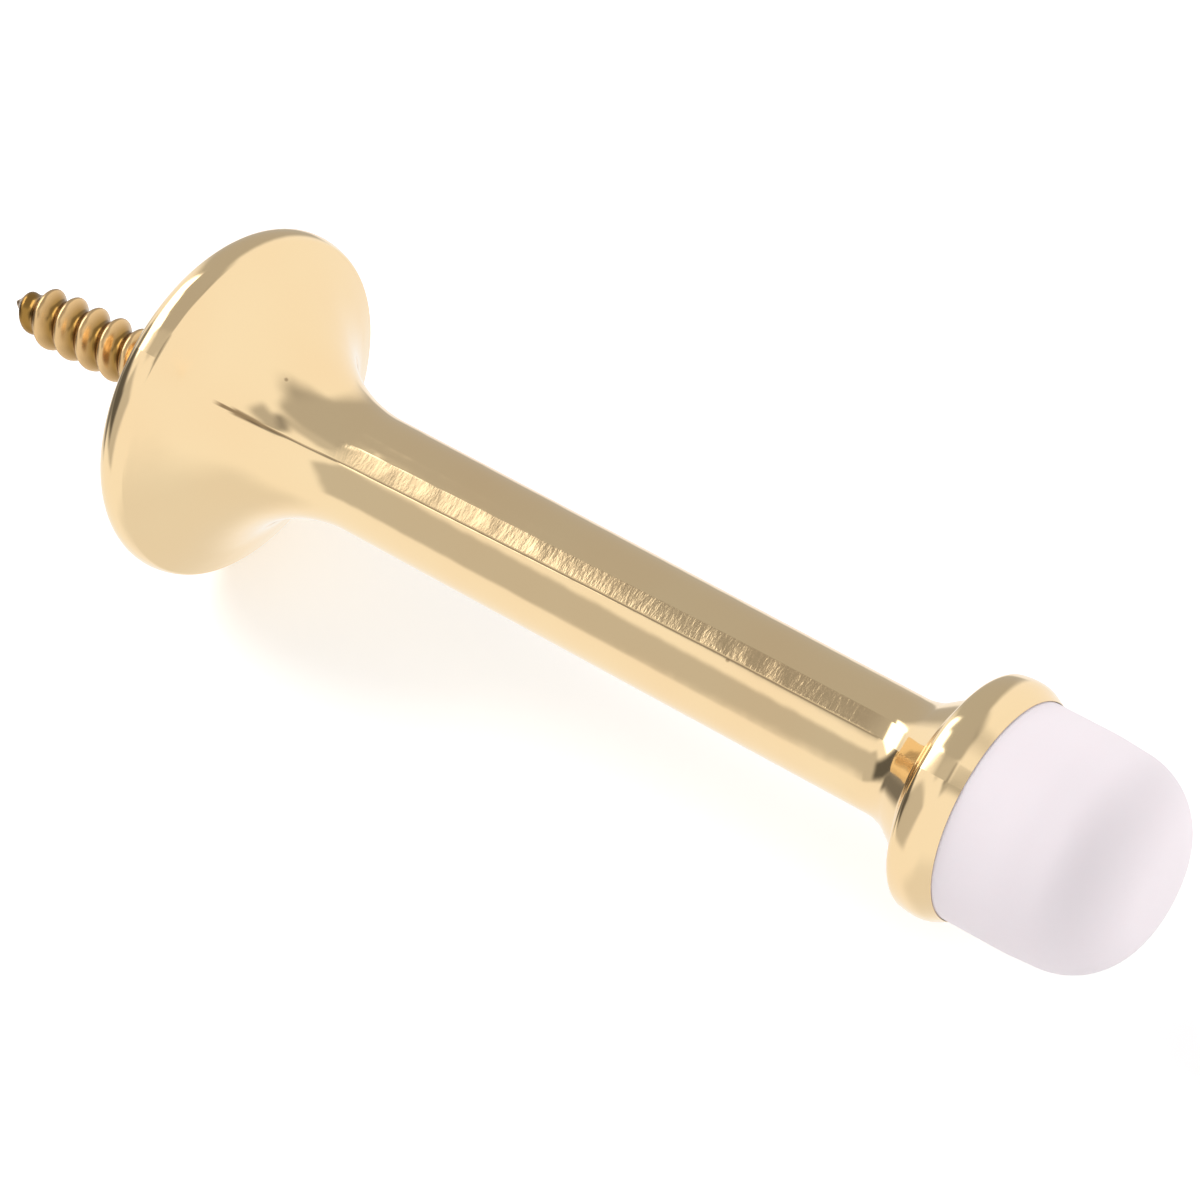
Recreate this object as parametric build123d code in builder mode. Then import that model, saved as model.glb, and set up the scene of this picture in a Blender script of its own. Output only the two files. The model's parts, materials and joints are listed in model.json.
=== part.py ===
"""Rigid door stop: a cast, plated body with a round flange and a ringed end, a soft tip and a wood screw.

The origin is the centre of the flange's back, which lies on the wall. The stop's axis runs along -Y,
from the wall to the soft tip, and the wood screw points along +Y, into the wall. +Z is up.
"""

import os
from math import acos, atan, atan2, cos, degrees, radians, sin, sqrt

from build123d import *

# The whole stop
projection = 76.2            # wall to the end of the soft tip
casting_seam_angle = 130.0   # where the two halves of the die met, around the axis from +X

# Flange
flange_diameter = 25.4
rim_thickness = 3.3          # the rim is a full round
flare_radius = 11.6          # hollow curve from the rim down to the shank
dish_depth = 1.2             # the flange's back is dished, so that its edge bears on the wall
dish_diameter = 19.6
dish_chamfer = 0.4

# Shank
shank_root_diameter = 8.34   # where the flare ends
shank_end_diameter = 8.1     # where the neck starts
trim_depth = 0.06            # the seam's flash was belted off, which left a narrow flat
trim_end_gap = 0.6           # the flat stops this far short of the curves at both ends

# Neck, a hollow curve from the shank up to a low shoulder behind the collar
neck_radius = 3.6
shoulder_rise = 1.5          # above the shank's end
shoulder_width = 1.05        # from its sharp edge to the collar's back

# Collar, a ring of full round section that holds the soft tip
collar_width = 4.6
collar_wall = 0.7            # the ring is this much larger than the soft tip, all around
lip_width = 0.25             # flat edge around the mouth
seat_depth = 2.4             # from the mouth to the floor under the soft tip

# Soft tip
tip_diameter = 14.9
tip_reach = 12.9             # from the collar's middle to the end of the tip
seat_clearance = 0.05
side_length = 4.7            # straight side in front of the mouth
nose_drop = 0.47             # the side draws in by this much before the end
crown_height = 0.62
side_blend = 14.0
edge_radius = 5.0
plug_diameter = 5.2
plug_length = 5.4
plug_clearance = 0.05
plug_chamfer = 0.5
plug_barb_height = 0.25      # soft barbs that grip the bore's wall
plug_barb_count = 3
plug_barb_length = 1.0

# Wood screw
screw_length = 19.05         # from the wall to the point
crest_diameter = 4.4
thread_overrun = 0.35        # the thread starts this far behind the wall's face, inside the dish
point_length = 5.2
stud_diameter = 3.8          # plain end, held in the body
stud_length = 11.0
drill_point_angle = 118.0

flange_radius = flange_diameter / 2
rim_radius = rim_thickness / 2
shank_root_radius = shank_root_diameter / 2
shank_end_radius = shank_end_diameter / 2
shoulder_radius = shank_end_radius + shoulder_rise
collar_round = collar_width / 2
collar_centre = projection - tip_reach
tip_radius = tip_diameter / 2
stud_radius = stud_diameter / 2
seat_radius = tip_radius + seat_clearance


def at(radius, distance):
    """Point of a half section: its radius, and its distance from the wall towards the tip."""
    return Vector(radius, -distance)


def heading(start, end):
    """Angle of the line from one point of the half section to another, from 0 to 360 degrees."""
    return degrees(atan2(end.Y - start.Y, end.X - start.X)) % 360


# The rim, and the hollow curve that touches both the rim and the shank's side
rim_centre = at(flange_radius - rim_radius, rim_radius)
flare_centre_radius = shank_root_radius + flare_radius
flare_reach = sqrt((rim_radius + flare_radius) ** 2 - (flare_centre_radius - rim_centre.X) ** 2)
flare_centre = at(flare_centre_radius, rim_radius + flare_reach)

# The collar's ring, and the hollow curve of the neck that ends at the shoulder's edge
ring_centre = at(tip_radius + collar_wall - collar_round, collar_centre)
ring_back = at(shoulder_radius, collar_centre - sqrt(collar_round**2 - (ring_centre.X - shoulder_radius) ** 2))
shoulder_edge = at(shoulder_radius, collar_centre - collar_round - shoulder_width)
neck_reach = sqrt(neck_radius**2 - (neck_radius - shoulder_rise) ** 2)
neck_centre = shoulder_edge + Vector(neck_radius - shoulder_rise, neck_reach)
shank_slope = degrees(atan((shank_root_radius - shank_end_radius) / (flare_centre.Y - neck_centre.Y)))

# The mouth is where the collar's round has come in to the flat lip
mouth_angle = degrees(acos((seat_radius + lip_width - ring_centre.X) / collar_round))
mouth_distance = collar_centre + collar_round * sin(radians(mouth_angle))
seat_floor = mouth_distance - seat_depth
plug_end = seat_floor - plug_length
plug_bore_radius = plug_diameter / 2 + plug_barb_height + plug_clearance


def add_body_outline():
    """Outer half section of the casting, from the rim's back to the mouth, closed along the axis."""
    flare_start = heading(flare_centre, rim_centre)
    neck_end = heading(neck_centre, shoulder_edge)
    side_angle = 180 - shank_slope
    back = Line(at(0, 0), at(rim_centre.X, 0))
    rim = CenterArc(rim_centre, rim_radius, 90, heading(rim_centre, flare_centre) - 450)
    flare = CenterArc(flare_centre, flare_radius, flare_start, side_angle - flare_start)
    neck = CenterArc(neck_centre, neck_radius, side_angle, neck_end - side_angle)
    Line(flare @ 1, neck @ 0)
    ring_start = heading(ring_centre, ring_back)
    Line(neck @ 1, ring_back)
    ring = CenterArc(ring_centre, collar_round, ring_start, -mouth_angle - ring_start)
    Polyline(ring @ 1, at(0, mouth_distance), back @ 0)


def drill_depth(radius):
    """Height of the cone that a drill leaves under a blind hole."""
    return radius / sin(radians(drill_point_angle / 2)) * cos(radians(drill_point_angle / 2))


# Cast body
with BuildPart() as cast_body:
    with BuildSketch(Plane.XY):
        with BuildLine():
            add_body_outline()
        make_face()
    revolve(axis=Axis.Y)

    # The dished back, and the blind hole that the screw's plain end is pressed into
    with BuildSketch(Plane.XY) as back_hollow:
        with BuildLine():
            stud_end = dish_depth + stud_length
            Polyline(
                at(0, 0),
                at(dish_diameter / 2, 0),
                at(dish_diameter / 2, dish_depth),
                at(stud_radius, dish_depth),
                at(stud_radius, stud_end),
                at(0, stud_end + drill_depth(stud_radius)),
                close=True,
            )
        make_face()
        dish_corner = back_hollow.vertices().sort_by_distance(Vector(dish_diameter / 2, -dish_depth))[0]
        chamfer(dish_corner, dish_chamfer)
    revolve(axis=Axis.Y, mode=Mode.SUBTRACT)

    # The seat of the soft tip in the collar, and the blind hole for its plug
    with BuildSketch(Plane.XY):
        with BuildLine():
            Polyline(
                at(0, mouth_distance),
                at(seat_radius, mouth_distance),
                at(seat_radius, seat_floor),
                at(plug_bore_radius, seat_floor),
                at(plug_bore_radius, plug_end),
                at(0, plug_end - drill_depth(plug_bore_radius)),
                close=True,
            )
        make_face()
    revolve(axis=Axis.Y, mode=Mode.SUBTRACT)

    # The narrow flat beside the casting seam, level with the shank's slight taper
    flat_start = -flare_centre.Y + trim_end_gap
    flat_end = -neck_centre.Y - trim_end_gap
    shank_middle = (shank_root_radius + shank_end_radius) / 2
    flat_half_angle = degrees(acos(1 - trim_depth / shank_middle))
    flat_angle = radians(casting_seam_angle - flat_half_angle)
    outward = Vector(cos(flat_angle), -sin(radians(shank_slope)), sin(flat_angle))
    flat_middle = Vector(cos(flat_angle), 0, sin(flat_angle)) * (shank_middle - trim_depth)
    flat_middle = flat_middle + Vector(0, -(flat_start + flat_end) / 2, 0)
    flat_plane = Plane(origin=flat_middle, x_dir=Vector(-sin(flat_angle), 0, cos(flat_angle)), z_dir=outward)
    with BuildSketch(flat_plane):
        Rectangle(shank_middle, flat_end - flat_start)
    extrude(amount=shank_middle / 2, mode=Mode.SUBTRACT)
cast_body.part.label = "cast_body"

# Soft tip
with BuildPart() as rubber_tip:
    with BuildSketch(Plane.XY) as tip_section:
        with BuildLine():
            side_end = mouth_distance + side_length
            edge_radius_from_axis = tip_radius - nose_drop
            crown_start = projection - crown_height
            Polyline(
                at(0, seat_floor),
                at(tip_radius, seat_floor),
                at(tip_radius, side_end),
                at(edge_radius_from_axis, crown_start),
            )
            crown_radius = (edge_radius_from_axis**2 + crown_height**2) / (2 * crown_height)
            half_crown = degrees(atan2(edge_radius_from_axis, crown_radius - crown_height))
            crown_centre = at(0, projection - crown_radius)
            CenterArc(crown_centre, crown_radius, 270, half_crown)
            Line(at(0, projection), at(0, seat_floor))
        make_face()
        corners = tip_section.vertices()
        fillet(corners.sort_by_distance(Vector(edge_radius_from_axis, -crown_start))[0], edge_radius)
        fillet(tip_section.vertices().sort_by_distance(Vector(tip_radius, -side_end))[0], side_blend)
    revolve(axis=Axis.Y)

    # The plug and its barbs, each a cone that slopes back from its leading edge
    with BuildSketch(Plane.XY):
        with BuildLine():
            Polyline(
                at(0, seat_floor + plug_chamfer),
                at(plug_diameter / 2, seat_floor + plug_chamfer),
                at(plug_diameter / 2, plug_end + plug_chamfer),
                at(plug_diameter / 2 - plug_chamfer, plug_end),
                at(0, plug_end),
                close=True,
            )
        make_face()
        barb_step = (plug_length - plug_chamfer) / plug_barb_count
        for barb in range(plug_barb_count):
            barb_back = seat_floor - barb * barb_step - (barb_step - plug_barb_length)
            with BuildLine():
                Polyline(
                    at(0, barb_back),
                    at(plug_diameter / 2 + plug_barb_height, barb_back),
                    at(plug_diameter / 2, barb_back - plug_barb_length),
                    at(0, barb_back - plug_barb_length),
                    close=True,
                )
            make_face()
    revolve(axis=Axis.Y)
rubber_tip.part.label = "rubber_tip"

# Wood screw, plain over the thread's crests
with BuildPart() as wood_screw:
    with BuildSketch(Plane.XY):
        with BuildLine():
            Polyline(
                at(0, dish_depth + stud_length),
                at(stud_radius, dish_depth + stud_length),
                at(stud_radius, thread_overrun),
                at(crest_diameter / 2, 0),
                at(crest_diameter / 2, -(screw_length - point_length)),
                at(0, -screw_length),
                close=True,
            )
        make_face()
    revolve(axis=Axis.Y)
wood_screw.part.label = "wood_screw"

os.makedirs("parts", exist_ok=True)
export_step(cast_body.part, "parts/cast_body.step")
export_step(rubber_tip.part, "parts/rubber_tip.step")
export_step(wood_screw.part, "parts/wood_screw.step")
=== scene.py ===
# %% [markdown]
# # A rigid door stop
# The stop is a die-cast metal post with bright brass plating. A round flange stands on the wall, a
# wood screw behind it goes into the wall, and a soft white tip in the ringed end meets the door.
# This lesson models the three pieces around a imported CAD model, which gives the sizes and places.
# Every length is written in millimetres and turned into Blender's metres where it is used.

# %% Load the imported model
import json
from math import atan2, cos, degrees, hypot, pi, radians, sin, sqrt, tan

import bmesh
import bpy
from mathutils import Matrix, Vector

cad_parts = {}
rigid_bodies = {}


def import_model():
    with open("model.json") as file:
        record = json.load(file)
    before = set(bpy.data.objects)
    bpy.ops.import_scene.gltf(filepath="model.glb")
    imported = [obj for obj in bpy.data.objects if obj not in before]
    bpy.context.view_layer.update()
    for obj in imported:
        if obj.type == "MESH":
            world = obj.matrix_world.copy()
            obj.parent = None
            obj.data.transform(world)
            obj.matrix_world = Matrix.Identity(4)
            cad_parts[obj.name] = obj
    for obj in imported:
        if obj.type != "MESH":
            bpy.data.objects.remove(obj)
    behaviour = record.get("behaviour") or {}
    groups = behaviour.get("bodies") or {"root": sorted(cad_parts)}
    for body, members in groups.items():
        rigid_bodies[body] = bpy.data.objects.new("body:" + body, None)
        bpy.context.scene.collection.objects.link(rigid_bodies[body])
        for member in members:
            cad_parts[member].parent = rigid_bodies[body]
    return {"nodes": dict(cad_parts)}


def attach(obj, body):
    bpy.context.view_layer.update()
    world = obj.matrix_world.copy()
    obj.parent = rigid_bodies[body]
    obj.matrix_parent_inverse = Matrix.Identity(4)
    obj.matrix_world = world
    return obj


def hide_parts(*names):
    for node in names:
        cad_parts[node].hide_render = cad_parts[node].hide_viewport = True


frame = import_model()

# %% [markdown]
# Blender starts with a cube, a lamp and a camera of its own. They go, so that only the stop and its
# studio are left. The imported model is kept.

for thing in list(bpy.data.objects):
    if thing.name in ("Cube", "Light", "Camera"):
        bpy.data.objects.remove(thing)
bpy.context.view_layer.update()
print("nodes:", sorted(frame["nodes"]))

# %% Shared words
MM = 0.001


def clear_selection():
    """Back to object mode, with nothing selected."""
    if bpy.context.mode != "OBJECT":
        bpy.ops.object.mode_set(mode="OBJECT")
    bpy.ops.object.select_all(action="DESELECT")


print("one millimetre is", MM, "m")

# %% [markdown]
# ## Drawing a half section
# Every round piece here could be turned on a lathe, so each one starts as its half section: a thin
# line of points beside the axis. The line is drawn as by hand. A plane is merged into one point,
# straight parts are extruded from the last point, and round parts are spun about their own centre.
# A place in the section is a radius and a distance from the wall. A heading is an angle from the
# radius towards the tip.

# %% Start and measure a half section


def start_section(name, radius, distance):
    """A new piece with one point, above the axis."""
    clear_selection()
    bpy.ops.mesh.primitive_plane_add(size=MM)
    piece = bpy.context.object
    piece.name = name
    piece.data.name = name
    bpy.ops.object.mode_set(mode="EDIT")
    bpy.ops.mesh.select_mode(type="VERT")
    bpy.ops.mesh.select_all(action="SELECT")
    bpy.ops.mesh.merge(type="CENTER")
    bpy.ops.transform.translate(value=(0, -distance * MM, radius * MM))
    return piece


def last_point():
    """Radius and distance of the point where the line ends."""
    mesh = bmesh.from_edit_mesh(bpy.context.object.data)
    place = [v.co.copy() for v in mesh.verts if v.select][0]
    return place.z / MM, -place.y / MM


print("a half section starts as one point above the axis")

# %% Draw on from the last point


def draw_line(radius, distance, parts=1):
    """A straight line on from the last point, in equal parts."""
    from_radius, from_distance = last_point()
    step = (0, (from_distance - distance) * MM / parts, (radius - from_radius) * MM / parts)
    for part in range(parts):
        bpy.ops.mesh.extrude_region_move(TRANSFORM_OT_translate={"value": step})


def draw_arc(radius, distance, turn, steps):
    """An arc on from the last point, about a centre. A positive turn goes towards the tip."""
    centre = (0, -distance * MM, radius * MM)
    bpy.ops.mesh.spin(steps=steps, angle=radians(-turn), center=centre, axis=(1, 0, 0))


print("lines and arcs go on from the last point")

# %% Work on the finished line
weld = 0.002              # points nearer than this are one point
drill_point = 118         # usual angle of a drill's point


def select_point(radius, distance):
    """Select the one point at this place."""
    bpy.ops.mesh.select_all(action="DESELECT")
    mesh = bmesh.from_edit_mesh(bpy.context.object.data)
    nearest = min(mesh.verts, key=lambda v: hypot(v.co.z - radius * MM, v.co.y + distance * MM))
    nearest.select_set(True)
    bmesh.update_edit_mesh(bpy.context.object.data)


def round_corner(radius, distance, size, segments=3):
    """Round one corner of the line. The size is the length that it takes from both sides."""
    select_point(radius, distance)
    bpy.ops.mesh.bevel(offset_type="OFFSET", offset=size * MM, segments=segments, affect="VERTICES")


def drill_cone(radius):
    """Height of the cone under a drilled hole."""
    return radius / tan(radians(drill_point / 2))


def close_round(piece):
    """Merge the points that the spin laid on each other, and turn all faces outwards."""
    bpy.ops.mesh.select_all(action="SELECT")
    bpy.ops.mesh.remove_doubles(threshold=weld * MM)
    bpy.ops.mesh.select_all(action="SELECT")
    bpy.ops.mesh.normals_make_consistent(inside=False)
    bpy.ops.object.mode_set(mode="OBJECT")
    print(piece.name, "has", len(piece.data.vertices), "points and", len(piece.data.polygons), "faces")


print("a drill leaves a cone of", round(drill_cone(1.0), 3), "mm under a hole of 1 mm radius")

# %% [markdown]
# ## The cast body
# The body is one casting from the wall to the ring around the soft tip. It could be a stack of
# cylinders, but then the hollow curves between flange, shank and ring would be missing, and they
# carry most of the reflections. So the outer line is drawn once, with the radii of the real curves.

# %% The rim's full round
dish_radius = 9.8         # the back is dished inside this radius
rim_centre = (11.05, 1.65)
rim_back = 1.65           # radius of the rim's back

body = start_section("plated_body", dish_radius, 0.0)
draw_line(rim_centre[0], 0.0, parts=2)
draw_arc(*rim_centre, turn=90, steps=12)
print("the rim's back ends at", last_point())

# %% [markdown]
# The rim's outer band is flatter than its back, and a tight corner turns it into the flange's face.
# That face is a straight cone first, and then the hollow of the flare. The corner touches the band
# from inside and the cone from behind, which gives its centre.

# %% Where the rim's front corner lies
band_round = 2.4
corner_round = 0.5
face_heading = 63.0
flare_centre = (15.77, 14.13)
flare_round = 11.6

band_centre = (rim_centre[0] + rim_back - band_round, rim_centre[1])
facing = (cos(radians(face_heading)), sin(radians(face_heading)))
hollow_start = (flare_centre[0] - flare_round * facing[0], flare_centre[1] - flare_round * facing[1])
from_band = (hollow_start[0] - band_centre[0], hollow_start[1] - band_centre[1])
reach = from_band[0] * facing[0] + from_band[1] * facing[1] - corner_round
aside = sqrt((band_round - corner_round) ** 2 - reach**2)
corner_centre = (
    band_centre[0] + reach * facing[0] + aside * facing[1],
    band_centre[1] + reach * facing[1] - aside * facing[0],
)
band_turn = degrees(atan2(corner_centre[1] - band_centre[1], corner_centre[0] - band_centre[0]))
print("the band turns by", round(band_turn, 2), "degrees")

# %% Draw the band, the corner, the face and the flare
shank_slope = 0.16        # the shank narrows by this angle
draw_arc(*band_centre, turn=band_turn, steps=6)
draw_arc(*corner_centre, turn=face_heading - band_turn, steps=8)
draw_line(*hollow_start, parts=6)
draw_arc(*flare_centre, turn=shank_slope - face_heading, steps=40)
print("the shank starts at", last_point())

# %% [markdown]
# The neck opens from the shank in a hollow curve, goes on as a cone, and turns up into the ring's
# back in a second hollow curve. The ring isn't a plain round: its back corner is tight, the band on
# top is flat, and a narrow front band slopes in to the mouth.

# %% Neck
neck_centre = (7.65, 57.026)
neck_round = 3.6
neck_turn = 36
neck_start = (neck_centre[0] - neck_round * cos(radians(shank_slope)), neck_centre[1])
draw_line(*neck_start, parts=70)
draw_arc(*neck_centre, turn=-neck_turn - shank_slope, steps=14)
cone_end = (5.72, 60.6)
print("the cone runs from", last_point(), "to", cone_end)
draw_line(*cone_end, parts=4)
hollow_round = 1.1
hollow_lean = 34.0        # the cone's angle to the axis
hollow_centre = (
    cone_end[0] + hollow_round * cos(radians(hollow_lean)),
    cone_end[1] - hollow_round * sin(radians(hollow_lean)),
)
back_lean = 65.0          # the ring's back is this steep
draw_arc(*hollow_centre, turn=hollow_lean - back_lean, steps=8)
print("the hollow ends at", last_point())

# %% Ring
seat_radius = 7.5
mouth = 64.87
seat_floor = 62.196
back_corner_centre = (7.276, 62.389)
back_corner_round = 0.8
band_lean = 10.0
top_round = 5.0           # the flat band on top of the ring
front_round = 2.24
front_lean = 28.0
mouth_step = 0.02         # a hair of a flat around the mouth

draw_line(
    back_corner_centre[0] + back_corner_round * cos(radians(back_lean)),
    back_corner_centre[1] - back_corner_round * sin(radians(back_lean)),
    parts=2,
)
draw_arc(*back_corner_centre, turn=back_lean - band_lean, steps=12)
top_centre = (
    back_corner_centre[0] - (top_round - back_corner_round) * cos(radians(band_lean)),
    back_corner_centre[1] + (top_round - back_corner_round) * sin(radians(band_lean)),
)
draw_arc(*top_centre, turn=band_lean, steps=8)
front_centre = (top_centre[0] + top_round - front_round, top_centre[1])
draw_arc(*front_centre, turn=front_lean, steps=10)
print("the ring's front band starts at", last_point())
draw_line(seat_radius + mouth_step, mouth, parts=3)
draw_line(seat_radius, mouth)

# %% [markdown]
# The seam on the outside is worked ring by ring later, so the places of the outer line are kept now,
# before the bores are drawn on.

# %% Note the outer line


def line_places():
    """Radius and distance of every point of the line."""
    mesh = bmesh.from_edit_mesh(bpy.context.object.data)
    return {(round(v.co.z / MM, 4), round(-v.co.y / MM, 4)) for v in mesh.verts}


outer_line = line_places()
print("the outer line has", len(outer_line), "places")

# %% [markdown]
# The bores are hidden once the stop is put together, but they are part of the casting: the seat and
# the blind hole that hold the soft tip, and the dished back with the hole for the screw's plain end.

# %% The seat, and the hole for the plug
plug_bore = 2.9
plug_length = 5.4
plug_end = seat_floor - plug_length

select_point(seat_radius, mouth)
draw_line(seat_radius, seat_floor)
draw_line(plug_bore, seat_floor)
draw_line(plug_bore, plug_end)
draw_line(0, plug_end - drill_cone(plug_bore))
print("the hole for the plug ends at", last_point())

# %% The dished back, and the hole for the screw's plain end
dish_depth = 1.2
dish_chamfer = 0.4
stud_radius = 1.9
stud_end = 12.2
bore_room = 0.4           # the hole is wider at its mouth, because the screw leans
edge_size = 0.15          # the dish's edge is rounded by this much

select_point(dish_radius, 0)
draw_line(dish_radius, dish_depth - dish_chamfer)
draw_line(dish_radius - dish_chamfer, dish_depth)
draw_line(stud_radius + bore_room, dish_depth)
draw_line(stud_radius, stud_end)
draw_line(0, stud_end + drill_cone(stud_radius))
round_corner(dish_radius, 0, edge_size)
print("half section has", len(line_places()), "places")

# %% [markdown]
# ## Spinning the section
# The section is spun about the axis of the post. Around the casting seam the steps are one degree,
# because the flat that was rubbed there is only a few degrees wide. The rest of the round needs no
# more than a step of two and a half degrees.

# %% Spin the body
fine_half = 26            # steps of one degree on each side of the seam
rest_steps = 124


def spin_section(steps, turn):
    """Spin the selected points about the post's axis."""
    bpy.ops.mesh.spin(steps=steps, angle=radians(turn), center=(0, 0, 0), axis=(0, 1, 0))


bpy.ops.mesh.select_all(action="SELECT")
spin_section(fine_half, fine_half)
spin_section(rest_steps, 360 - 2 * fine_half)
spin_section(fine_half, fine_half)
close_round(body)

# %% [markdown]
# ## The casting seam
# A die has two halves, and a fin of metal stands where they meet. It was rubbed off on a belt, which
# left a narrow flat beside the seam. The flat is made as the belt did it: ring by ring, the points
# beside the seam are pressed towards the chord between the flat's two edges. The seam lies on top
# while it is worked, and the body is turned to its real angle afterwards.

# %% How wide the flat is
# distance from the wall, and half the flat's width in degrees
flat_half = [
    (0.0, 4.0),
    (2.9, 4.5),
    (3.1, 0.0),
    (11.5, 0.0),
    (14.5, 9.8),
    (57.0, 9.8),
    (60.0, 6.0),
    (64.9, 5.0),
]
widest_half = max(half for distance, half in flat_half)


def between(table, distance):
    """Value between the listed places along the post."""
    for (low, at_low), (high, at_high) in zip(table, table[1:]):
        if distance <= high:
            return at_low + (at_high - at_low) * (distance - low) / (high - low)
    return table[-1][1]


print("half the flat's width is", between(flat_half, 13.0), "degrees where it begins to open")

# %% Rub the flat
left_over = 0.15          # part of the round that the belt leaves above the chord
on_line = 0.01            # degrees, points this near the flat's edges stay
bore_limit = 4            # what lies within this radius is bore


def rub_flat(piece, places):
    """Press one ring after another, as the belt did."""
    clear_selection()
    bpy.context.view_layer.objects.active = piece
    piece.select_set(True)
    bpy.ops.object.mode_set(mode="EDIT")
    bpy.ops.mesh.select_mode(type="VERT")
    bpy.ops.mesh.select_all(action="DESELECT")
    mesh = bmesh.from_edit_mesh(piece.data)
    rings = {place: [] for place in places}
    for v in mesh.verts:
        across = degrees(atan2(v.co.x, v.co.z))
        if 0 < across < 2 * widest_half:
            place = (round(hypot(v.co.x, v.co.z) / MM, 3), round(-v.co.y / MM, 3))
            if place in rings:
                rings[place].append((v, across))
    for (radius, distance), ring in rings.items():
        half = between(flat_half, distance)
        chosen = [v for v, across in ring if on_line < across < 2 * half - on_line]
        if not chosen:
            continue
        for v in chosen:
            v.select_set(True)
        lean = radians(half)
        level = radius * MM * cos(lean)
        bpy.ops.transform.resize(
            value=(1, 1, left_over),
            orient_type="GLOBAL",
            orient_matrix=((cos(lean), 0, -sin(lean)), (0, 1, 0), (sin(lean), 0, cos(lean))),
            orient_matrix_type="GLOBAL",
            center_override=(level * sin(lean), -distance * MM, level * cos(lean)),
        )
        for v in chosen:
            v.select_set(False)
    print("rubbed", len(rings), "rings")


rub_flat(body, {(round(r, 3), round(s, 3)) for r, s in outer_line if r > bore_limit})

# %% [markdown]
# Each point of the body now notes how many degrees it is away from the seam. The plating reads this
# number later, to find the rubbed strip and to paint a fine line of shade along the seam.

# %% Note the angle from the seam
bpy.ops.object.mode_set(mode="OBJECT")
from_seam = body.data.attributes.new("from_seam", "FLOAT", "POINT")
for v in body.data.vertices:
    from_seam.data[v.index].value = degrees(atan2(v.co.x, v.co.z))
bpy.ops.object.mode_set(mode="EDIT")
print("noted the angle from the seam on", len(body.data.vertices), "points")

# %% [markdown]
# The seam is a sharp line, so it is marked as one, and no smooth shading runs over it. The fin's foot
# also left a fine groove along it, from the flare to the neck.

# %% Mark the seam as a sharp line
hair = 0.001              # points this near the seam's plane are on the seam
mesh = bmesh.from_edit_mesh(body.data)
bpy.ops.mesh.select_mode(type="EDGE")
bpy.ops.mesh.select_all(action="DESELECT")
for edge in mesh.edges:
    a, b = (v.co for v in edge.verts)
    on_seam = abs(a.x) < hair * MM and abs(b.x) < hair * MM
    if on_seam and min(a.z, b.z) > bore_limit * MM:
        edge.select_set(True)
bmesh.update_edit_mesh(body.data)
bpy.ops.mesh.mark_sharp()
print("marked", sum(not edge.smooth for edge in mesh.edges), "edges as sharp")

# %% Sink the groove and turn the body
groove = 0.03
groove_ends = (5.4, 57)   # from the wall
flange_limit = 9          # the groove stays within this radius
bpy.ops.mesh.select_mode(type="VERT")
bpy.ops.mesh.select_all(action="DESELECT")
for v in mesh.verts:
    on_shank = groove_ends[0] < -v.co.y / MM < groove_ends[1] and v.co.z < flange_limit * MM
    if abs(v.co.x) < hair * MM and v.co.z > bore_limit * MM and on_shank:
        v.select_set(True)
bmesh.update_edit_mesh(body.data)
bpy.ops.transform.translate(value=(0, 0, -groove * MM))

seam_angle = 130
bpy.ops.mesh.select_all(action="SELECT")
bpy.ops.transform.rotate(value=radians(seam_angle - 90), orient_axis="Y", center_override=(0, 0, 0))
print("seam turned to", seam_angle, "degrees")

# %% [markdown]
# The seam of the real stop isn't quite straight. It could be bent with a curve, but the rings of the
# outside are simply turned a little, each by its own angle, and the bores inside stay as they are.

# %% Let the seam wander
# distance from the wall, and turn in degrees
seam_wander = [
    (4.0, 4.5),
    (8.0, 5.8),
    (11.0, 5.6),
    (20.0, 2.2),
    (35.0, -2.8),
    (45.0, -5.3),
    (57.0, -6.3),
    (61.0, 0.0),
]
wander_ends = (3.1, 61)   # from the wall
skin_limit = 3.9          # the outside lies beyond this radius
turned_rings = {}
mesh = bmesh.from_edit_mesh(body.data)
for v in mesh.verts:
    distance = round(-v.co.y / MM, 2)
    if wander_ends[0] < distance < wander_ends[1] and hypot(v.co.x, v.co.z) > skin_limit * MM:
        turned_rings.setdefault(distance, []).append(v)
bpy.ops.mesh.select_all(action="DESELECT")
for distance, ring in turned_rings.items():
    for v in ring:
        v.select_set(True)
    turn = radians(between(seam_wander, distance))
    bpy.ops.transform.rotate(value=turn, orient_axis="Y", center_override=(0, 0, 0))
    for v in ring:
        v.select_set(False)
bpy.ops.object.mode_set(mode="OBJECT")
points_a_ring = sorted({len(ring) for ring in turned_rings.values()})
print("turned", len(turned_rings), "rings, with", points_a_ring, "points in each")

# %% Shade the body and hand it over


def smooth(piece, angle=35):
    """Smooth shading, apart from edges that are sharper than the angle."""
    clear_selection()
    piece.select_set(True)
    bpy.context.view_layer.objects.active = piece
    bpy.ops.object.shade_smooth_by_angle(angle=radians(angle), keep_sharp_edges=True)


smooth(body)
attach(body, "root")
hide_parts("cast_body")
print("body box:", [round(c / MM, 2) for c in body.dimensions])

# %% [markdown]
# ## The soft tip
# The tip is one moulding of white rubber. What shows is a short straight side and a rounded end. A
# barbed plug behind it is pushed into the blind hole. It is also drawn as a half section and spun.

# %% Draw the soft tip
tip_radius = 7.45
side_end = 69.3
edge_centre = (2.299, 71.124)
edge_round = 5.0
side_lean = 4.28          # the side draws in by this angle in front of its straight part
crown_centre = (0, 36.6)
crown_meets = 86.19       # heading where the rounded edge meets the crown
plug_radius = 2.6
plug_chamfer = 0.5
barb_height = 0.25
barb_length = 1.0
barb_step = (plug_length - plug_chamfer) / 3

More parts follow.
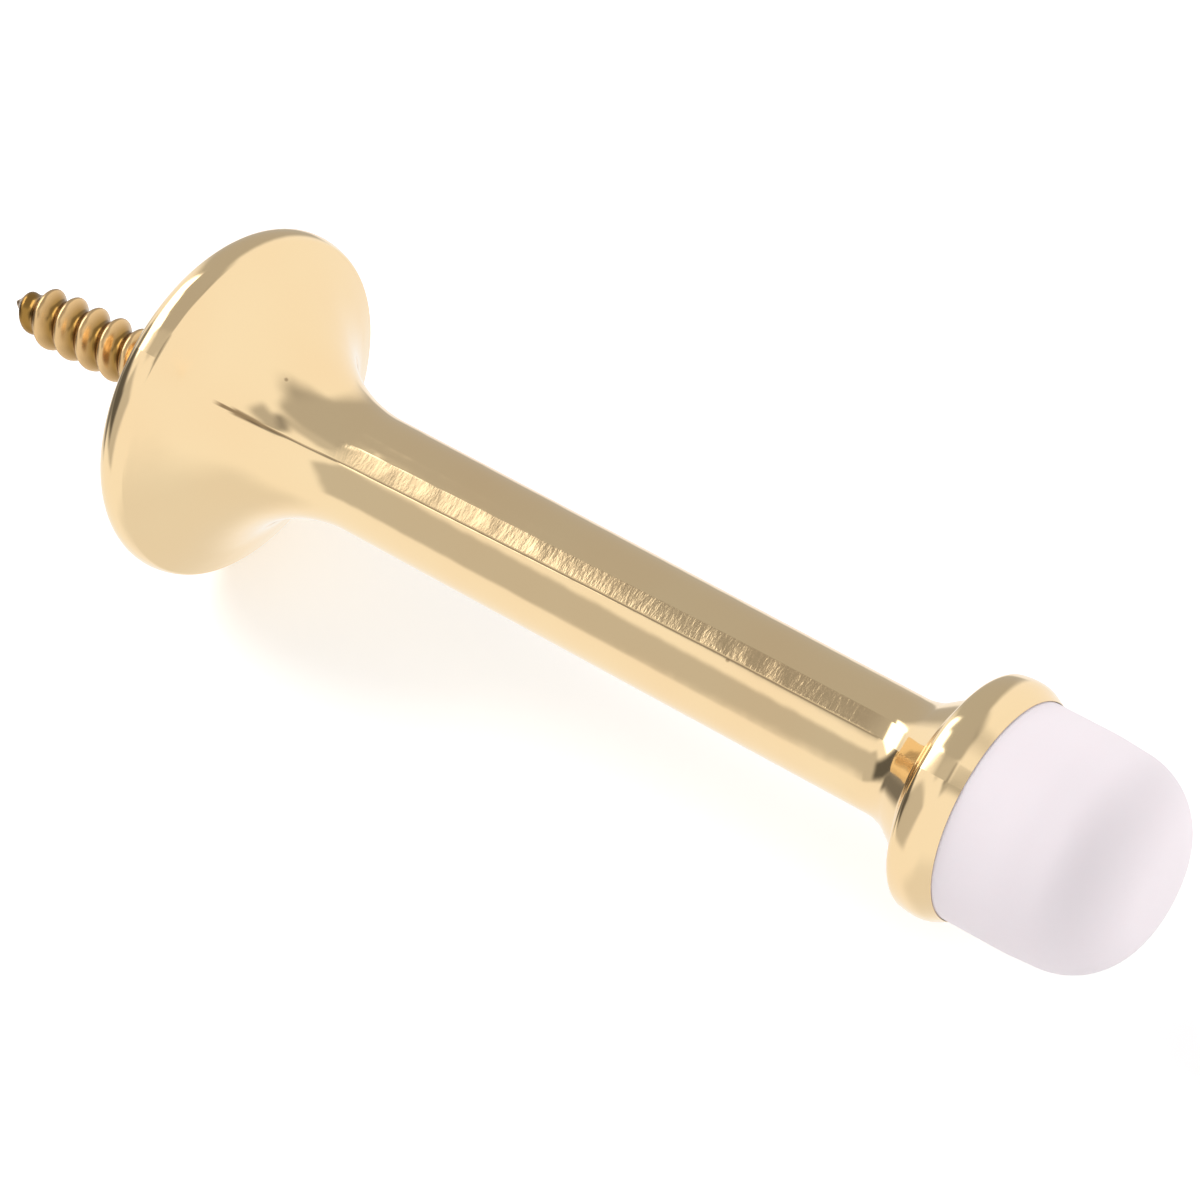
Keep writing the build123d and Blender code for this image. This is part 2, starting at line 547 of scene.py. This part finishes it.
tip = start_section("soft_tip", 0, plug_end)
draw_line(plug_radius - plug_chamfer, plug_end)
draw_line(plug_radius, plug_end + plug_chamfer)
for barb in (2, 1, 0):
    barb_back = seat_floor - barb * barb_step - (barb_step - barb_length)
    draw_line(plug_radius, barb_back - barb_length)
    draw_line(plug_radius + barb_height, barb_back)
    draw_line(plug_radius, barb_back)
draw_line(plug_radius, seat_floor)
draw_line(tip_radius, seat_floor)
draw_line(tip_radius, side_end, parts=8)
draw_line(
    edge_centre[0] + edge_round * cos(radians(side_lean)),
    edge_centre[1] + edge_round * sin(radians(side_lean)),
    parts=4,
)
draw_arc(*edge_centre, turn=crown_meets - side_lean, steps=28)
draw_arc(*crown_centre, turn=90 - crown_meets, steps=6)
round_corner(tip_radius, side_end, size=0.5, segments=6)
round_corner(tip_radius, seat_floor, size=0.2)
print("the tip's half section has", len(line_places()), "places")

# %% Spin the soft tip
bpy.ops.mesh.select_all(action="SELECT")
spin_section(120, 360)
close_round(tip)
smooth(tip)
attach(tip, "root")
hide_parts("rubber_tip")
print("tip box:", [round(c / MM, 2) for c in tip.dimensions])

# %% [markdown]
# ## The wood screw
# A cut through a screw thread, square to its axis, is always the same shape: a round core with one
# bump, where the thread passes. So the thread is made by pulling that shape along the axis and
# turning it a little with each pull, one full turn for every pitch. Towards the point the shape is
# also made smaller.

# %% The shape of the cut
core_radius = 1.55
crest_radius = 2.18
crest_sharpness = 2.4


def cut_radius(turn):
    """Radius of the cut at a part of a turn away from the thread's crest, -0.5 to 0.5."""
    return core_radius + (crest_radius - core_radius) * cos(pi * turn) ** crest_sharpness


print("an eighth of a turn from the crest the radius is", round(cut_radius(0.125), 2), "mm")

# %% Draw the cut through the screw
crest_turn = 0.15         # where the thread's crest starts, as a part of a turn
cut_points = 48

clear_selection()
bpy.ops.mesh.primitive_circle_add(
    vertices=cut_points, radius=core_radius * MM, fill_type="NGON", rotation=(radians(90), 0, 0)
)
screw = bpy.context.object
screw.name = "wood_screw_thread"
screw.data.name = "wood_screw_thread"
bpy.ops.object.transform_apply(location=True, rotation=True, scale=True)
bpy.ops.object.mode_set(mode="EDIT")
bpy.ops.mesh.select_mode(type="VERT")
mesh = bmesh.from_edit_mesh(screw.data)
for index in range(len(mesh.verts)):
    bpy.ops.mesh.select_all(action="DESELECT")
    mesh.verts.ensure_lookup_table()
    v = mesh.verts[index]
    v.select_set(True)
    turn = (atan2(v.co.x, v.co.z) / (2 * pi) - crest_turn + 0.5) % 1 - 0.5
    grow = cut_radius(turn) / core_radius
    bpy.ops.transform.resize(value=(grow, 1, grow), center_override=(0, 0, 0))
print("cut drawn with", len(mesh.verts), "points")

# %% How the point narrows
screw_length = 19.05
point_start = 14.6
point_fullness = 2.4
smallest_cut = 0.05


def point_scale(along):
    """Size of the cut, which shrinks along the gimlet point."""
    if along < point_start:
        return 1.0
    gone = (along - point_start) / (screw_length - point_start)
    return max(smallest_cut, 1 - gone**point_fullness)


halfway = (point_start + screw_length) / 2
print("halfway along the point the cut has", round(point_scale(halfway), 2), "of its size")

# %% Pull the thread
pitch = 2.05
steps_a_turn = 24
thread_start = -0.35      # behind the wall's face, inside the dish
sharp_end = 0.25          # the last cut is drawn to a point over this length
thread_length = screw_length - sharp_end - thread_start
steps = round(thread_length / pitch * steps_a_turn)
pull = thread_length / steps

bpy.ops.mesh.select_all(action="SELECT")
bpy.ops.transform.translate(value=(0, thread_start * MM, 0))
bpy.ops.mesh.select_mode(type="FACE")
scale_now = 1.0
along = thread_start
for step in range(steps):
    bpy.ops.mesh.extrude_region_move(TRANSFORM_OT_translate={"value": (0, pull * MM, 0)})
    along += pull
    centre = (0, along * MM, 0)
    bpy.ops.transform.rotate(
        value=radians(-360 / steps_a_turn), orient_axis="Y", center_override=centre
    )
    scale_next = point_scale(along)
    if scale_next != scale_now:
        ratio = scale_next / scale_now
        bpy.ops.transform.resize(value=(ratio, 1, ratio), center_override=centre)
        scale_now = scale_next
last_pull = (0, (screw_length - along) * MM, 0)
bpy.ops.mesh.extrude_region_move(TRANSFORM_OT_translate={"value": last_pull})
bpy.ops.mesh.merge(type="CENTER")
print("thread pulled in", steps, "steps")

# %% [markdown]
# The other end of the screw is plain. The first cut is pulled back a little and made round again, and
# from there it goes straight down to the bottom of the hole in the body.

# %% The plain end of the screw
thread_fade = 0.2         # the thread runs out over this length
mesh = bmesh.from_edit_mesh(screw.data)
bpy.ops.mesh.select_all(action="DESELECT")
first = min(mesh.faces, key=lambda f: f.calc_center_median().y)
first.select_set(True)
bmesh.update_edit_mesh(screw.data)
bpy.ops.mesh.extrude_region_move(TRANSFORM_OT_translate={"value": (0, -thread_fade * MM, 0)})
first = [f for f in mesh.faces if f.select][0]
for v in first.verts:
    bpy.ops.mesh.select_all(action="DESELECT")
    v.select_set(True)
    grow = stud_radius * MM / hypot(v.co.x, v.co.z)
    bpy.ops.transform.resize(value=(grow, 1, grow), center_override=(0, v.co.y, 0))
bpy.ops.mesh.select_all(action="DESELECT")
for v in first.verts:
    v.select_set(True)
bpy.ops.mesh.select_mode(type="FACE")
first.select_set(True)
stud_length = stud_end + thread_start - thread_fade
bpy.ops.mesh.extrude_region_move(TRANSFORM_OT_translate={"value": (0, -stud_length * MM, 0)})
bpy.ops.mesh.select_all(action="SELECT")
bpy.ops.mesh.normals_make_consistent(inside=False)
bpy.ops.object.mode_set(mode="OBJECT")
print("the plain end is", round(stud_length, 2), "mm long")

# %% [markdown]
# Each point of the screw notes how high it is on the thread, 0 in the root and 1 on the crest. The
# finish reads this later. Then the whole screw is tilted, because the real one leans in its hole.

# %% Note the height on the thread
on_thread = screw.data.attributes.new("on_thread", "FLOAT", "POINT")
for v in screw.data.vertices:
    height = hypot(v.co.x, v.co.z) / MM - core_radius
    on_thread.data[v.index].value = height / (crest_radius - core_radius)
print("noted the height on", len(screw.data.vertices), "points")

# %% Lean the screw and hand it over
lean_aside = -1.45
lean_down = 1.2
bore_bottom = (0, -stud_end * MM, 0)
bpy.ops.object.mode_set(mode="EDIT")
bpy.ops.transform.rotate(value=radians(lean_aside), orient_axis="Z", center_override=bore_bottom)
bpy.ops.transform.rotate(value=radians(lean_down), orient_axis="X", center_override=bore_bottom)
mesh = bmesh.from_edit_mesh(screw.data)
point = max(mesh.verts, key=lambda v: v.co.y).co / MM
print("the screw's point leans to", [round(c, 2) for c in point])
bpy.ops.object.mode_set(mode="OBJECT")
smooth(screw, 50)
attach(screw, "root")
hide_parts("wood_screw")
print("screw box:", [round(c / MM, 2) for c in screw.dimensions])

# %% [markdown]
# ## Finishes
# Bright brass plating is a thin hard layer that mirrors the studio. Its colour comes from the metal,
# and its life from what it reflects, so the surface itself is nearly even: a faint ripple left by
# polishing, a speck, a nick, and a rough chattered strip where the belt rubbed the seam.

# %% Node helpers


def add(tree, kind, **values):
    """A node of a kind. Names with a capital set its sockets, the others its properties."""
    node = tree.nodes.new("ShaderNode" + kind)
    for name, value in values.items():
        if name[0].isupper():
            node.inputs[name.replace("_", " ")].default_value = value
        else:
            setattr(node, name, value)
    return node


def new_material(name):
    """A material with its node tree and its Principled shader."""
    material = bpy.data.materials.new(name)
    material.use_nodes = True
    tree = material.node_tree
    return material, tree, tree.nodes["Principled BSDF"]


def finish_piece(piece, material):
    """Give the piece this finish only."""
    piece.data.materials.clear()
    piece.data.materials.append(material)
    print(piece.name, "is finished in", material.name, "with", len(material.node_tree.nodes), "nodes")


print("a finish is built on each piece's own material")

# %% Arithmetic in nodes


def maths(tree, operation, a, b=None, c=None):
    """One step of arithmetic. Each value is a number or comes from another node."""
    node = add(tree, "Math", operation=operation)
    for socket, value in zip(node.inputs, (a, b, c)):
        if value is None:
            continue
        if isinstance(value, (int, float)):
            socket.default_value = value
        else:
            tree.links.new(value, socket)
    return node.outputs[0]


def fade(tree, value, full, none):
    """One where the value is at the first number, none where it has reached the second."""
    node = add(tree, "MapRange", interpolation_type="SMOOTHSTEP")
    node.inputs["From Min"].default_value = full
    node.inputs["From Max"].default_value = none
    node.inputs["To Min"].default_value = 1
    node.inputs["To Max"].default_value = 0
    tree.links.new(value, node.inputs["Value"])
    return node.outputs["Result"]


print("values fade between two places")

# %% Colours and noise in nodes


def colour_mix(tree, factor, low, high):
    """A colour between two others, of which the first may come from another node."""
    node = add(tree, "Mix", data_type="RGBA")
    colours = {socket.identifier: socket for socket in node.inputs}
    tree.links.new(factor, node.inputs["Factor"])
    if isinstance(low, tuple):
        colours["A_Color"].default_value = low
    else:
        tree.links.new(low, colours["A_Color"])
    colours["B_Color"].default_value = high
    return [socket for socket in node.outputs if socket.identifier == "Result_Color"][0]


def noise(tree, vector, **values):
    """Noise at a place."""
    node = add(tree, "TexNoise", **values)
    tree.links.new(vector, node.inputs["Vector"])
    return node.outputs["Fac"]


def scaled(tree, value, low, high):
    """A value from 0 to 1, spread from one number to another."""
    node = add(tree, "MapRange", To_Min=low, To_Max=high)
    tree.links.new(value, node.inputs["Value"])
    return node.outputs["Result"]


print("colours and noise are mixed in the same way for every finish")

# %% [markdown]
# The belt that rubbed the seam chattered: it left fine ridges across the flat, and the plating on
# them is less bright. The strip is found by its angle from the seam and its place along the axis.

# %% Places on the plating
# distances along the axis are in millimetres from the wall, and angles in degrees
plating, tree, shader = new_material("bright_brass_plating")
place = add(tree, "TexCoord").outputs["Object"]
axes = add(tree, "SeparateXYZ")
tree.links.new(place, axes.inputs["Vector"])
along_axis = maths(tree, "MULTIPLY", axes.outputs["Y"], -1 / MM)
from_line = add(tree, "Attribute", attribute_name="from_seam").outputs["Fac"]
off_strip = maths(tree, "ABSOLUTE", maths(tree, "SUBTRACT", from_line, widest_half))
strip = maths(tree, "MULTIPLY", fade(tree, off_strip, 8.4, 10.0), fade(tree, along_axis, 55, 57.5))
strip = maths(tree, "MULTIPLY", strip, fade(tree, along_axis, 15.0, 12.5))
near_flange = fade(tree, along_axis, 24, 33)
print("the rubbed strip is", 2 * widest_half, "degrees wide")

# %% [markdown]
# Two bumps lie on each other: a soft ripple all over, from polishing, and the belt's ridges across
# the strip only. Noise that is squeezed along the axis gives such ridges.

# %% Ripple and ridges
ripple = add(tree, "Bump", Strength=0.10, Distance=0.4 * MM)
tree.links.new(noise(tree, place, Scale=260, Detail=2), ripple.inputs["Height"])

ridged = add(tree, "Mapping", Scale=(1300, 3400, 1300))
tree.links.new(place, ridged.inputs["Vector"])
chatter = noise(tree, ridged.outputs["Vector"], Scale=1, Detail=3, Roughness=0.6)
ridges = add(tree, "Bump", Distance=0.022 * MM)
tree.links.new(strip, ridges.inputs["Strength"])
tree.links.new(chatter, ridges.inputs["Height"])
tree.links.new(ripple.outputs["Normal"], ridges.inputs["Normal"])
tree.links.new(ridges.outputs["Normal"], shader.inputs["Normal"])
print("two bumps on the plating")

# %% How dull the plating is
gloss = scaled(tree, noise(tree, place, Scale=900, Detail=3), 0.06, 0.12)
rubbed = maths(tree, "MULTIPLY_ADD", near_flange, 0.10, 0.08)
dull = maths(tree, "ADD", gloss, maths(tree, "MULTIPLY", strip, rubbed))
tree.links.new(dull, shader.inputs["Roughness"])
shader.inputs["Metallic"].default_value = 1
print("the strip is duller than the rest")

# %% [markdown]
# The plating's colour is a little uneven. Some places are darker: painted shade along the seam, widest
# where it leaves the flange, the rubbed strip, a speck on the flare and a nick beside the seam.

# %% Painted shade and darker marks on the plating
off_seam = maths(tree, "ABSOLUTE", from_line)
# painted shadow: a wider band of shade about the seam, where it leaves the flange
painted_seam_shadow = maths(tree, "MULTIPLY", fade(tree, along_axis, 6.6, 6.0), fade(tree, along_axis, 7.4, 9.6))
painted_seam_shadow = maths(tree, "MULTIPLY", fade(tree, off_seam, 1.0, 2.6), maths(tree, "MULTIPLY", painted_seam_shadow, 0.75))
# painted shade: a fine dark line along the seam, stronger near the flange
line = fade(tree, off_seam, 0.5, 1.3)
line = maths(tree, "MULTIPLY", line, fade(tree, along_axis, 5.8, 5.2))
line = maths(tree, "MULTIPLY", line, fade(tree, along_axis, 56, 58))
strength = maths(tree, "MULTIPLY_ADD", fade(tree, along_axis, 8, 11), 0.35, 0.45)
line = maths(tree, "MULTIPLY", line, strength)
# the rubbed strip's colour is darker
strip_darkening = maths(tree, "MULTIPLY", strip, 0.36)
dark = maths(tree, "MAXIMUM", maths(tree, "MAXIMUM", line, painted_seam_shadow), strip_darkening)
specks = (
    ((-1.26, -7.7, 5.92), 0.16),
    ((-2.4, -45.6, 3.3), 0.17),
)
for spot, size in specks:
    away = add(tree, "VectorMath", operation="DISTANCE")
    away.inputs[1].default_value = [c * MM for c in spot]
    tree.links.new(place, away.inputs[0])
    speck = fade(tree, away.outputs["Value"], size * 0.4 * MM, size * 1.3 * MM)
    dark = maths(tree, "MAXIMUM", dark, maths(tree, "MULTIPLY", speck, 0.55))
print("dark places:", 3 + len(specks))

# %% The plating's colour
clouds = noise(tree, place, Scale=140, Detail=1)
brass = colour_mix(tree, clouds, (0.960, 0.752, 0.452, 1), (0.942, 0.692, 0.398, 1))
# the painted shade along the seam, the darker strip, the speck and the nick pull the brass towards
# dark brown
tinted = colour_mix(tree, dark, brass, (0.16, 0.09, 0.035, 1))
tree.links.new(tinted, shader.inputs["Base Color"])
finish_piece(body, plating)

# %% [markdown]
# The screw is brass-plated too, but it is only rolled and never polished. Its colour follows the
# height
# on the thread: the roots between the crests are painted darker, as painted shade in the grooves.

# %% Rolled brass for the screw
rolled, tree, shader = new_material("rolled_brass")
shader.inputs["Metallic"].default_value = 1
height = add(tree, "Attribute", attribute_name="on_thread").outputs["Fac"]
# painted shade: the thread's roots are tinted dark brown, and the crests keep the brass colour
tinted = colour_mix(tree, height, (0.36, 0.20, 0.05, 1), (0.82, 0.55, 0.27, 1))
tree.links.new(tinted, shader.inputs["Base Color"])
place = add(tree, "TexCoord").outputs["Object"]
gloss = scaled(tree, noise(tree, place, Scale=1500, Detail=3), 0.15, 0.3)
tree.links.new(gloss, shader.inputs["Roughness"])
finish_piece(screw, rolled)

# %% [markdown]
# The tip is soft white rubber. It is dull, light goes a little way into it, and its skin has the fine
# grain of the mould.

# %% White rubber
rubber, tree, shader = new_material("white_rubber")
shader.inputs["Base Color"].default_value = (0.90, 0.827, 0.868, 1)
shader.inputs["Roughness"].default_value = 0.55
shader.inputs["Subsurface Weight"].default_value = 0.15
shader.inputs["Subsurface Radius"].default_value = (1.0, 0.8, 0.8)
shader.inputs["Subsurface Scale"].default_value = 1 * MM
place = add(tree, "TexCoord").outputs["Object"]
grain = add(tree, "Bump", Strength=0.08, Distance=0.2 * MM)
tree.links.new(noise(tree, place, Scale=1200, Detail=3), grain.inputs["Height"])
tree.links.new(grain.outputs["Normal"], shader.inputs["Normal"])
finish_piece(tip, rubber)

# %% [markdown]
# ## The studio
# A polished part shows little of itself and much of the room. The room could be built from real
# cards and lamps, but their light would also fall on the floor. So it is painted on the world: a
# white tent, a lamp behind and above, pale and brown cards to the sides, and the dark shape of the
# camera. The camera itself sees plain white.
#
# One card is a node group. It takes a direction and gives back how far that direction lies inside a
# rectangle, with a soft edge.

# %% What a card is given
card = bpy.data.node_groups.new("studio_card", "ShaderNodeTree")
for name, kind in (
    ("Direction", "NodeSocketVector"),
    ("Middle", "NodeSocketVector"),
    ("Side", "NodeSocketVector"),
    ("Upwards", "NodeSocketVector"),
    ("Half Width", "NodeSocketFloat"),
    ("Half Height", "NodeSocketFloat"),
    ("Softness", "NodeSocketFloat"),
):
    card.interface.new_socket(name, in_out="INPUT", socket_type=kind)
card.interface.new_socket("Mask", in_out="OUTPUT", socket_type="NodeSocketFloat")
given = card.nodes.new("NodeGroupInput")
put_out = card.nodes.new("NodeGroupOutput")
print("a card is given", [item.name for item in card.interface.items_tree if item.in_out == "INPUT"])

# %% The mask of a card
behind = 0.02             # directions less far ahead than this are behind the card


def dotted(tree, a, b):
    """How far one direction goes along another."""
    node = add(tree, "VectorMath", operation="DOT_PRODUCT")
    tree.links.new(a, node.inputs[0])
    tree.links.new(b, node.inputs[1])
    return node.outputs["Value"]


ahead = dotted(card, given.outputs["Direction"], given.outputs["Middle"])
safe = maths(card, "MAXIMUM", ahead, behind)
in_front = maths(card, "GREATER_THAN", ahead, behind)
inside = None
for axis, size in (("Side", "Half Width"), ("Upwards", "Half Height")):
    offset = maths(card, "DIVIDE", dotted(card, given.outputs["Direction"], given.outputs[axis]), safe)
    room = maths(card, "SUBTRACT", given.outputs[size], maths(card, "ABSOLUTE", offset))
    edge = add(card, "MapRange", interpolation_type="SMOOTHSTEP")
    card.links.new(room, edge.inputs["Value"])
    card.links.new(maths(card, "MULTIPLY", given.outputs["Softness"], -1.0), edge.inputs["From Min"])
    card.links.new(given.outputs["Softness"], edge.inputs["From Max"])
    if inside is None:
        inside = edge.outputs["Result"]
    else:
        inside = maths(card, "MULTIPLY", inside, edge.outputs["Result"])
card.links.new(maths(card, "MULTIPLY", inside, in_front), put_out.inputs["Mask"])
print("studio card has", len(card.nodes), "nodes")

# %% [markdown]
# The cards are laid on the white tent one after another, and a later card covers the ones before it.

# %% Where the cards are
# longitude from the tip's side towards +X, latitude, half width, half height, turn and softness in
# degrees, and brightness
cards = (
    (-20, -62, 45, 35, 0, 20, 0.84),         # table below and in front
    (60, 86, 22, 22, 0, 12, 0.42),           # darker fold at the ceiling's edge
    (-150, 80, 30, 27, 0, 8, 0.50),          # ceiling
    (130, 25, 23, 42, 0, 6, 0.50),           # brown wall at the right
    (-124, 6, 16.5, 24.5, -20, 5, 0.60),     # brown card at the left, leaning
    (-85, 58, 22, 6, 0, 5, 0.60),            # and a narrow one above it
    (-176, 40, 20, 19, 0, 3, 3.0),           # the lamp
    (-158, 2, 24, 15, 0, 7, 0.12),           # black flag under the lamp
    (180, -18, 18, 8, 0, 5, 0.20),           # and its foot
    (177, 64, 14, 8, 0, 3, 0.50),            # the lamp's upper corner is covered
    (160, 60, 9, 9, 0, 3, 0.50),             # and its right side
    (-50, 42, 13, 7, 0, 4, 0.52),            # the camera's stand, as the flange sees it
    (-60, 49, 8, 4, 37, 4, 0.32),            # and the camera, as the ring sees it
)
print("the room has", len(cards), "cards")

# %% Paint the room
world = bpy.data.worlds.new("studio")
bpy.context.scene.world = world
world.use_nodes = True
room = world.node_tree
room.nodes.clear()
look = add(room, "TexCoord")
tent = 1.0                # brightness of the white tent
level = None
for longitude, latitude, half_width, half_height, turn, softness, brightness in cards:
    a, e = radians(longitude), radians(latitude)
    middle = Vector((sin(a) * cos(e), -cos(a) * cos(e), sin(e)))
    side = Vector((cos(a), sin(a), 0))
    upwards = middle.cross(side)
    spun = Matrix.Rotation(radians(turn), 3, middle)
    node = add(room, "Group")
    node.node_tree = card
    node.inputs["Middle"].default_value = middle
    node.inputs["Side"].default_value = spun @ side
    node.inputs["Upwards"].default_value = spun @ upwards
    node.inputs["Half Width"].default_value = tan(radians(half_width))
    node.inputs["Half Height"].default_value = tan(radians(half_height))
    node.inputs["Softness"].default_value = tan(radians(softness))
    room.links.new(look.outputs["Generated"], node.inputs["Direction"])
    blend = add(room, "Mix", data_type="FLOAT")
    room.links.new(node.outputs["Mask"], blend.inputs["Factor"])
    if level is None:
        blend.inputs["A"].default_value = tent
    else:
        room.links.new(level, blend.inputs["A"])
    blend.inputs["B"].default_value = brightness
    level = blend.outputs["Result"]
print("the room has", len(room.nodes), "nodes")

# %% [markdown]
# The lamps below add to the light on the dull pieces, so for them the painted room is a little weaker
# than for what the plating mirrors.

# %% What the camera and the light see of the room
weaker_by = 0.15
ray = add(room, "LightPath")
seen = add(room, "Background", Color=(1, 1, 1, 1))
painted = add(room, "Background", Color=(1, 1, 1, 1))
weaker = maths(room, "MULTIPLY_ADD", ray.outputs["Is Diffuse Ray"], -weaker_by, 1.0)
room.links.new(maths(room, "MULTIPLY", level, weaker), painted.inputs["Strength"])
choose = add(room, "MixShader")
room.links.new(ray.outputs["Is Camera Ray"], choose.inputs["Fac"])
room.links.new(painted.outputs["Background"], choose.inputs[1])
room.links.new(seen.outputs["Background"], choose.inputs[2])
surface = add(room, "OutputWorld")
room.links.new(choose.outputs["Shader"], surface.inputs["Surface"])
print("the camera sees white, the plating sees the cards")

# %% [markdown]
# The stop lies on a pale floor, which keeps its faint shadow. The floor shines a little towards the
# camera only, so that it runs into the white background, and it isn't mirrored in the plating.

# %% Floor
floor_level = -12.72      # just under the flange's rim
floor_glow = 0.36
clear_selection()
bpy.ops.mesh.primitive_plane_add(size=6, location=(0, 0, floor_level * MM))
floor = bpy.context.object
floor.name = "floor"
pale, tree, shader = new_material("pale_floor")
shader.inputs["Base Color"].default_value = (0.9, 0.9, 0.9, 1)
shader.inputs["Roughness"].default_value = 0.9
shader.inputs["Emission Color"].default_value = (1, 1, 1, 1)
path = add(tree, "LightPath")
glow = maths(tree, "MULTIPLY", path.outputs["Is Camera Ray"], floor_glow)
tree.links.new(glow, shader.inputs["Emission Strength"])
finish_piece(floor, pale)
floor.visible_glossy = False

# %% [markdown]
# The lamps that light the rubber are not seen in the plating, because the painted room already holds
# what the plating mirrors. One hangs above and behind, the other stands low in front, on the right.
# The rounded edge between side and end gets less of both, which draws the soft grey band there.

# %% Two soft lamps for the rubber
# name, place, size and power
lamps = (
    ("lamp_behind", Vector((-57, 414, 283)), 300, 1.45),
    ("lamp_front", Vector((360, -470, 30)), 200, 0.95),
)
aim = Vector((0, -65, 0))
for name, where, size, power in lamps:
    lamp_data = bpy.data.lights.new(name, "AREA")
    lamp_data.shape = "DISK"
    lamp_data.size = size * MM
    lamp_data.energy = power
    lamp_data.color = (1, 0.97, 0.94)
    lamp = bpy.data.objects.new(name, lamp_data)
    bpy.context.scene.collection.objects.link(lamp)
    lamp.location = where * MM
    lamp.rotation_euler = (aim - where).to_track_quat("-Z", "Y").to_euler()
    lamp.visible_glossy = False
print("soft lamps:", [lamp[0] for lamp in lamps])

# %% [markdown]
# The camera stands where the photograph was taken from: ahead of the tip, on its -X side, and above
# it. Its place, its lens and its three angles were worked out from the stop's outline.

# %% Camera
camera_data = bpy.data.cameras.new("camera")
camera_data.lens = 118.37
camera_data.sensor_width = 36
camera_data.clip_start = 0.01
camera_data.clip_end = 20
camera = bpy.data.objects.new("camera", camera_data)
bpy.context.scene.collection.objects.link(camera)
around, above, roll = radians(-50.696), radians(42.505), radians(-0.748)
back = Vector((sin(around) * cos(above), -cos(around) * cos(above), sin(above)))
right = Vector((cos(around), sin(around), 0))
right = Matrix.Rotation(roll, 3, back) @ right
up = back.cross(right)
camera.matrix_world = Matrix((right, up, back)).transposed().to_4x4()
camera.location = Vector((-145.677, -152.658, 172.256)) * MM
bpy.context.scene.camera = camera
print("camera looks along", [round(-c, 3) for c in back])

# %% [markdown]
# The plain view transform shows each colour as it is written.

# %% View settings
bpy.context.scene.view_settings.view_transform = "Standard"
print("view transform:", bpy.context.scene.view_settings.view_transform)

# %% [markdown]
# At the end the view layer is brought up to date.

# %% Bring the scene up to date
bpy.context.view_layer.update()
